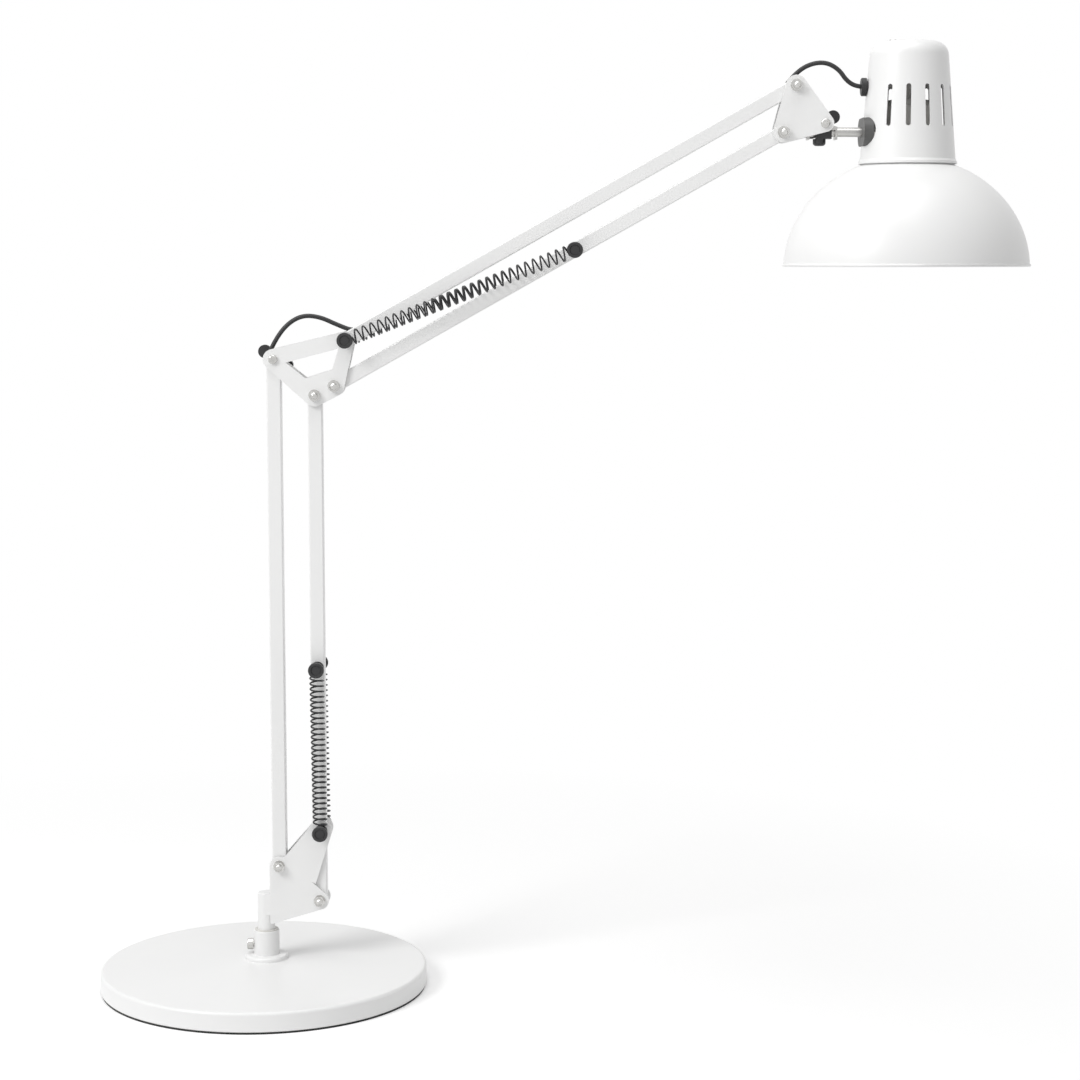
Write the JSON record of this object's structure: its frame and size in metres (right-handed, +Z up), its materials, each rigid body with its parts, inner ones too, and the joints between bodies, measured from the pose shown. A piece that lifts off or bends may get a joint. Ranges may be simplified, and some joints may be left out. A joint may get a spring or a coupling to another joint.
{
  "type": "desk lamp",
  "caption": "Counterweight balance desk lamp: round base, two parallelogram arms held by side springs, domed shade.",
  "frame": {"origin": "on the base's underside, where the swivel axis meets it, 16 mm behind the plate's middle", "axes": "+Z up, +X from the post towards the head, -Y is the front side with the dome nuts"},
  "size_m": [0.6438, 0.2278, 0.6559],
  "materials": {
    "white_paint": "smooth semi-gloss powder coat",
    "foot_pad": "matt foam rubber",
    "bright_fasteners": "bright plated",
    "brushed_steel": "brushed",
    "black_plastic": "satin moulded",
    "black_spring": "black spring steel",
    "black_rubber": "matt",
    "white_plastic": "matt",
    "grey_plastic": "satin moulded",
    "frosted_glass": "frosted"
  },
  "bodies": {
    "base": {"base_plate": "white_paint", "base_pad": "foot_pad", "base_collar": "white_paint", "collar_bush": "white_plastic", "base_screws": "bright_fasteners"},
    "thumbscrew": {"swivel_thumbscrew": "bright_fasteners"},
    "swivel": {"post": "white_paint", "base_bracket_front": "white_paint", "base_bracket_rear": "white_paint", "base_pivot_bolts": "bright_fasteners", "base_dome_nuts": "bright_fasteners", "base_washers": "bright_fasteners", "lower_anchor_spools": "black_plastic", "lower_spring_front": "black_spring", "lower_spring_rear": "black_spring"},
    "rear_bar": {"rear_bar": "white_paint", "rear_bar_lead": "black_rubber", "exit_grommet": "black_rubber"},
    "front_bar": {"front_bar": "white_paint", "front_bar_pin": "brushed_steel", "front_bar_spools": "black_plastic"},
    "elbow": {"elbow_plate_front": "white_paint", "elbow_plate_rear": "white_paint", "elbow_pivot_bolts": "bright_fasteners", "elbow_dome_nuts": "bright_fasteners", "elbow_washers": "bright_fasteners", "elbow_lock_screw": "bright_fasteners", "elbow_anchor_pin": "brushed_steel", "elbow_anchor_spools": "black_plastic", "elbow_cord_loop": "black_rubber", "upper_spring_front": "black_spring", "upper_spring_rear": "black_spring"},
    "elbow_knob": {"elbow_knob": "black_plastic"},
    "upper_bar": {"upper_bar": "white_paint", "upper_bar_lead": "black_rubber"},
    "under_bar": {"under_bar": "white_paint", "under_bar_pin": "brushed_steel", "under_bar_spools": "black_plastic"},
    "head_bracket": {"head_plate_front": "white_paint", "head_plate_rear": "white_paint", "head_pivot_bolts": "bright_fasteners", "head_dome_nuts": "bright_fasteners", "head_washers": "bright_fasteners", "tilt_screw": "bright_fasteners", "head_cord_loop": "black_rubber"},
    "tilt_knob": {"tilt_knob": "black_plastic"},
    "head_clamp": {"clamp_carrier": "brushed_steel", "clamp_block": "black_plastic"},
    "stem_knob": {"stem_knob": "black_plastic"},
    "head": {"stem": "brushed_steel", "stem_nut": "brushed_steel", "holder_strap": "brushed_steel", "stem_guide": "grey_plastic", "lampholder": "white_plastic", "bulb_cap": "brushed_steel", "bulb_glass": "frosted_glass", "housing": "white_paint", "housing_screws": "bright_fasteners", "shade": "white_paint", "cord_grommet": "black_rubber"}
  },
  "joints": [
    {"name": "thumbscrew_turn", "type": "hinge", "parent": "base", "child": "thumbscrew", "pos_m": [-0.009, 0, 0.0248], "axis": [1, 0, 0], "range_deg": [0, 360]},
    {"name": "swivel_turn", "type": "hinge", "parent": "base", "child": "swivel", "pos_m": [0, 0, 0.0149], "axis": [0, 0, 1], "continuous": true},
    {"name": "lower_arm_tilt", "type": "hinge", "parent": "swivel", "child": "rear_bar", "pos_m": [0.0102, 0, 0.0827], "axis": [0, 1, 0], "range_deg": [-25, 45]},
    {"name": "front_bar_follow", "type": "hinge", "parent": "swivel", "child": "front_bar", "pos_m": [0.0385, 0, 0.0579], "axis": [0, 1, 0], "range_deg": [-25, 45], "deforming": ["lower_spring_front", "lower_spring_rear"]},
    {"name": "elbow_level", "type": "hinge", "parent": "rear_bar", "child": "elbow", "pos_m": [0.0102, 0, 0.439], "axis": [0, 1, 0], "range_deg": [-45, 25], "deforming": ["elbow_cord_loop"]},
    {"name": "elbow_knob_turn", "type": "hinge", "parent": "elbow", "child": "elbow_knob", "pos_m": [0.0102, 0.012, 0.439], "axis": [0, 1, 0], "range_deg": [0, 180]},
    {"name": "upper_arm_tilt", "type": "hinge", "parent": "elbow", "child": "upper_bar", "pos_m": [0.0604, 0, 0.45215], "axis": [0, 1, 0], "range_deg": [-26, 60]},
    {"name": "under_bar_follow", "type": "hinge", "parent": "elbow", "child": "under_bar", "pos_m": [0.0519, 0, 0.42065], "axis": [0, 1, 0], "range_deg": [-26, 60], "deforming": ["upper_spring_front", "upper_spring_rear"]},
    {"name": "head_level", "type": "hinge", "parent": "upper_bar", "child": "head_bracket", "pos_m": [0.36815, 0, 0.62485], "axis": [0, 1, 0], "range_deg": [-60, 26]},
    {"name": "tilt_knob_turn", "type": "hinge", "parent": "head_bracket", "child": "tilt_knob", "pos_m": [0.38805, 0.012, 0.5994], "axis": [0, 1, 0], "range_deg": [0, 180]},
    {"name": "head_tilt", "type": "hinge", "parent": "head_bracket", "child": "head_clamp", "pos_m": [0.38805, 0, 0.5994], "axis": [0, 1, 0], "range_deg": [-60, 20], "deforming": ["head_cord_loop"]},
    {"name": "stem_knob_turn", "type": "hinge", "parent": "head_clamp", "child": "stem_knob", "pos_m": [0.38475, 0, 0.589], "axis": [0, 0, 1], "range_deg": [0, 360]},
    {"name": "head_roll", "type": "hinge", "parent": "head_clamp", "child": "head", "pos_m": [0.38805, 0, 0.5936], "axis": [1, 0, 0], "range_deg": [-90, 90]}
  ],
  "couplings": [
    {"joint": "front_bar_follow", "follows": "lower_arm_tilt", "ratio": 1},
    {"joint": "elbow_level", "follows": "lower_arm_tilt", "ratio": -1},
    {"joint": "under_bar_follow", "follows": "upper_arm_tilt", "ratio": 1},
    {"joint": "head_level", "follows": "upper_arm_tilt", "ratio": -1}
  ]
}
